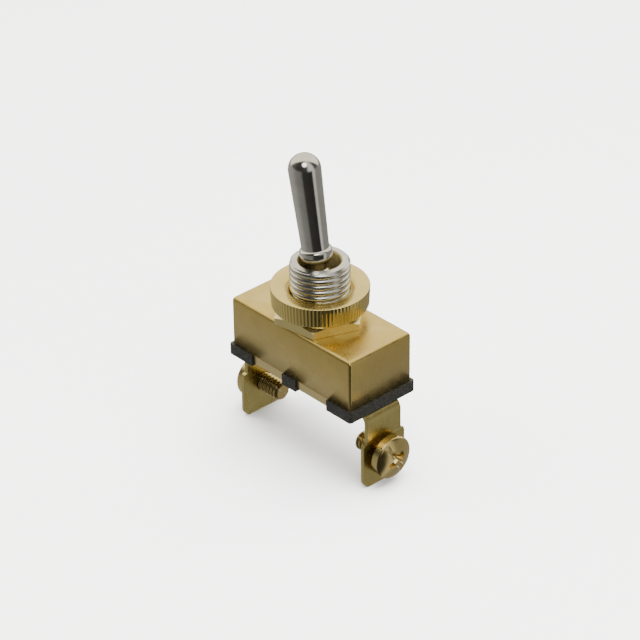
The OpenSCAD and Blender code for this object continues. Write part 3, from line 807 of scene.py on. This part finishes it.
def build_screw(name, node, body, side, turn):
    """A binding-head screw whose head faces outward along X. turn is how far its recess is turned."""
    dome = HEAD_HEIGHT - HEAD_RIM
    dome_r = (HEAD_R ** 2 + dome ** 2) / (2 * dome)
    span = math.asin((HEAD_R - HEAD_EDGE) / dome_r)
    centre = HEAD_HEIGHT - dome_r
    profile = [(0, HEAD_UNDERCUT), (HEAD_R - 0.9 * MM, HEAD_UNDERCUT), (HEAD_R - 0.75 * MM, 0.02 * MM)]
    profile += [(HEAD_R - 0.3 * MM, 0), (HEAD_R, 0.25 * MM), (HEAD_R, HEAD_RIM - HEAD_EDGE)]
    for k in range(DOME_STEPS + 1):
        a = span * (1 - k / DOME_STEPS)
        profile.append((dome_r * math.sin(a), centre + dome_r * math.cos(a)))
    screw = turned("head", profile, 96)
    combine(screw, recess_cutters(turn), "DIFFERENCE")
    sharpen(screw, 30)
    bevel(screw, 0.07 * MM, 2, 40)
    settle(screw)
    end = -(SCREW_HIGH[0] - SCREW_LOW[0] - HEAD_HEIGHT)

    def radius(r, z, a):
        if r < SCREW_R * 0.98:
            return r
        dip = SCREW_THREAD * thread_dip((z / SCREW_PITCH - a / (2 * math.pi)) % 1)
        taper = SCREW_R - max(0, SCREW_POINT - (z - end)) * SCREW_POINT_SLOPE
        return max(SCREW_LEAST_R, min(r - dip, taper))

    thread = [(SCREW_R, z) for z in thread_z_rows(end, SHANK_IN_HEAD, SCREW_PITCH, 16)]
    shank_profile = [(0, end), (SCREW_R * 0.6, end), *thread, (0, SHANK_IN_HEAD)]
    join(screw, [turned("shank", shank_profile, 64, radius=radius, smooth_angle=40)])
    screw.name = name
    under_head = SCREW_HIGH[0] - HEAD_HEIGHT
    move(screw, Matrix.Translation((under_head, 0, SCREW_Z)) @ Matrix.Rotation(math.pi / 2, 4, "Y"))
    if side < 0:
        move(screw, MIRROR_X)
    return place(screw, body, node, "screw_brass")


# ---------------------------------------------------------------- CAD pieces that stay
BASE_EDGE = 0.12 * MM
INNER_EDGE = 0.05 * MM


def dress_cad_nodes(replaced):
    """Gives each CAD node that still shows its material and eased edges, except the spring's round wire."""
    slots = {row["node"]: row["material_slot"] for row in frame["record"]["subparts"]}
    for node, obj in frame["nodes"].items():
        if node in replaced:
            continue
        obj.data.materials.clear()
        obj.data.materials.append(MATERIALS[slots[node]])
        if node == "plunger_spring":
            continue
        weld = obj.modifiers.new("weld", "WELD")
        weld.merge_threshold = NEAR_ZERO
        flats = obj.modifiers.new("flats", "DECIMATE")
        flats.decimate_type = "DISSOLVE"
        flats.angle_limit = math.radians(1)
        bevel(obj, BASE_EDGE if node == "base" else INNER_EDGE, 2, 50)


# ---------------------------------------------------------------- studio
VIEW_AZIMUTH = math.radians(47.65)
VIEW_ELEVATION = math.radians(32.1)
VIEW_ROLL = math.radians(-0.75)
VIEW_DISTANCE = 0.548
VIEW_WIDTH = 0.12554
VIEW_UP = -1.17 * MM
VIEW_RIGHT = -0.08 * MM
SENSOR_WIDTH = 36

CEILING_LIFT = math.radians(31)
CEILING_LIGHT = (1.75, 1.66, 1.42)
KEY_LIFT = math.radians(57)
KEY_LIGHT = 4
BACKDROP = (2.4, 2.4, 2.4)

FLOOR_HALF = 4
FLOOR_DEPTH = 5 * MM
FLOOR_COLOUR = (0.93, 0.93, 0.93, 1)
FLOOR_ROUGHNESS = 0.9
SOFTBOX_SIZE = 0.7
SOFTBOXES = (
    ("overhead", (0.05, 0.1, 0.7), 26),
    ("left", (-0.45, -0.45, 0.35), 6),
    ("right", (0.6, -0.1, 0.35), 6),
)


def softbox(name, location, power):
    """A square studio light that faces the part and isn't mirrored in it."""
    light = bpy.data.lights.new(name, "AREA")
    light.size = SOFTBOX_SIZE
    light.energy = power
    obj = bpy.data.objects.new(name, light)
    bpy.context.scene.collection.objects.link(obj)
    obj.location = location
    obj.rotation_euler = (-obj.location).to_track_quat("-Z", "Y").to_euler()
    obj.visible_glossy = False


def build_camera():
    """A long lens at the three-quarter view, slightly rolled."""
    right = Vector((math.cos(VIEW_AZIMUTH), math.sin(VIEW_AZIMUTH), 0))
    level = Vector((-math.sin(VIEW_AZIMUTH), math.cos(VIEW_AZIMUTH), 0))
    forward = level * math.cos(VIEW_ELEVATION) - Vector((0, 0, math.sin(VIEW_ELEVATION)))
    up = right.cross(forward)
    rolled_right = right * math.cos(VIEW_ROLL) + up * math.sin(VIEW_ROLL)
    rolled_up = up * math.cos(VIEW_ROLL) - right * math.sin(VIEW_ROLL)
    target = rolled_up * VIEW_UP + rolled_right * VIEW_RIGHT
    camera = bpy.data.cameras.new("camera")
    camera.sensor_width = SENSOR_WIDTH
    camera.lens = SENSOR_WIDTH * VIEW_DISTANCE / VIEW_WIDTH
    camera.clip_start = 0.01
    obj = bpy.data.objects.new("camera", camera)
    axes = Matrix((rolled_right, rolled_up, -forward)).transposed()
    obj.matrix_world = Matrix.Translation(target - forward * VIEW_DISTANCE) @ axes.to_4x4()
    bpy.context.scene.collection.objects.link(obj)
    bpy.context.scene.camera = obj


def build_dome():
    """A studio dome of grey bands for the metals to mirror.

    It is brightest at the back, dark in front with a bright strip and a small bright spot, and grey at the
    sides. The camera sees a plain backdrop instead.
    """
    world = bpy.data.worlds.new("studio")
    bpy.context.scene.world = world
    world.use_nodes = True
    tree = world.node_tree
    towards = tree.nodes.new("ShaderNodeTexCoord").outputs["Generated"]
    front = (math.sin(VIEW_AZIMUTH), -math.cos(VIEW_AZIMUTH), 0)
    right = (math.cos(VIEW_AZIMUTH), math.sin(VIEW_AZIMUTH), 0)

    def along(vector):
        node = tree.nodes.new("ShaderNodeVectorMath")
        node.operation = "DOT_PRODUCT"
        node.inputs[1].default_value = vector
        tree.links.new(towards, node.inputs[0])
        return node.outputs["Value"]

    def two_values(operation, first, second):
        node = tree.nodes.new("ShaderNodeMath")
        node.operation = operation
        tree.links.new(first, node.inputs[0])
        tree.links.new(second, node.inputs[1])
        return node.outputs[0]

    def lifted(side, lift):
        return (side * front[0] * math.cos(lift), side * front[1] * math.cos(lift), math.sin(lift))

    def grey(value):
        return (value, value * 0.99, value * 0.95)

    def bands(*stops):
        """Greys round the dome, at degrees to the right of its front."""
        return ramp(tree, round_about, [(0.5 + degrees / 360, grey(value)) for degrees, value in stops])

    round_about = remap(tree, two_values("ARCTAN2", along(right), along(front)), 0, 1, -math.pi, math.pi)
    low = bands((-180, 0.5), (-110, 0.46), (-85, 0.41), (-60, 0.27), (-25, 0.22), (-12, 0.05),
                (48, 0.035), (57, 0.75), (68, 0.75), (76, 0.33), (120, 0.33), (180, 0.5))
    high = bands((-180, 0.5), (-120, 0.2), (-60, 0.06), (-20, 0.05), (15, 0.08),
                 (32, 0.9), (60, 0.9), (80, 0.08), (120, 0.2), (180, 0.5))
    height = along((0, 0, 1))
    dome = mix(tree, remap(tree, height, 0, 1, 0, 0.25), low, high)
    near_ceiling = remap(tree, along(lifted(-1, CEILING_LIFT)), 0, 1, 0.3, 0.5)
    above_floor = remap(tree, height, 0, 1, -0.05, 0.1)
    dome = mix(tree, two_values("MULTIPLY", near_ceiling, above_floor), dome, CEILING_LIGHT)
    near_key = remap(tree, along(lifted(1, KEY_LIFT)), 0, 1, 0.95, 0.98)
    dome = mix(tree, near_key, dome, grey(KEY_LIGHT))
    seen = tree.nodes.new("ShaderNodeLightPath").outputs["Is Camera Ray"]
    background = tree.nodes["Background"]
    tree.links.new(mix(tree, seen, dome, BACKDROP), background.inputs["Color"])
    background.inputs["Strength"].default_value = 1


def build_studio():
    """A plain pale floor under the terminals, the dome and three soft lights."""
    floor_z = PLATE_LOW[2]
    low, high = (-FLOOR_HALF, -FLOOR_HALF, floor_z - FLOOR_DEPTH), (FLOOR_HALF, FLOOR_HALF, floor_z)
    floor = block("floor", low, high)
    material, _, shader = nodes_of("floor_paper")
    shader.inputs["Base Color"].default_value = FLOOR_COLOUR
    shader.inputs["Roughness"].default_value = FLOOR_ROUGHNESS
    floor.data.materials.append(material)
    floor.visible_glossy = False
    build_dome()
    for name, location, power in SOFTBOXES:
        softbox(name, location, power)


REPLACED = {"case_shell", "stem", "hex_nut", "round_nut", "lever", "terminal_line", "terminal_load",
            "screw_line", "screw_load"}
build_camera()
build_case()
build_stem()
build_hex_nut()
build_round_nut()
build_lever()
build_terminal("terminal_line.look", "terminal_line", 1)
build_terminal("terminal_load.look", "terminal_load", -1)
build_screw("screw_line.look", "screw_line", "screw_line", 1, math.radians(30))
build_screw("screw_load.look", "screw_load", "screw_load", -1, math.radians(75))
dress_cad_nodes(REPLACED)
build_studio()
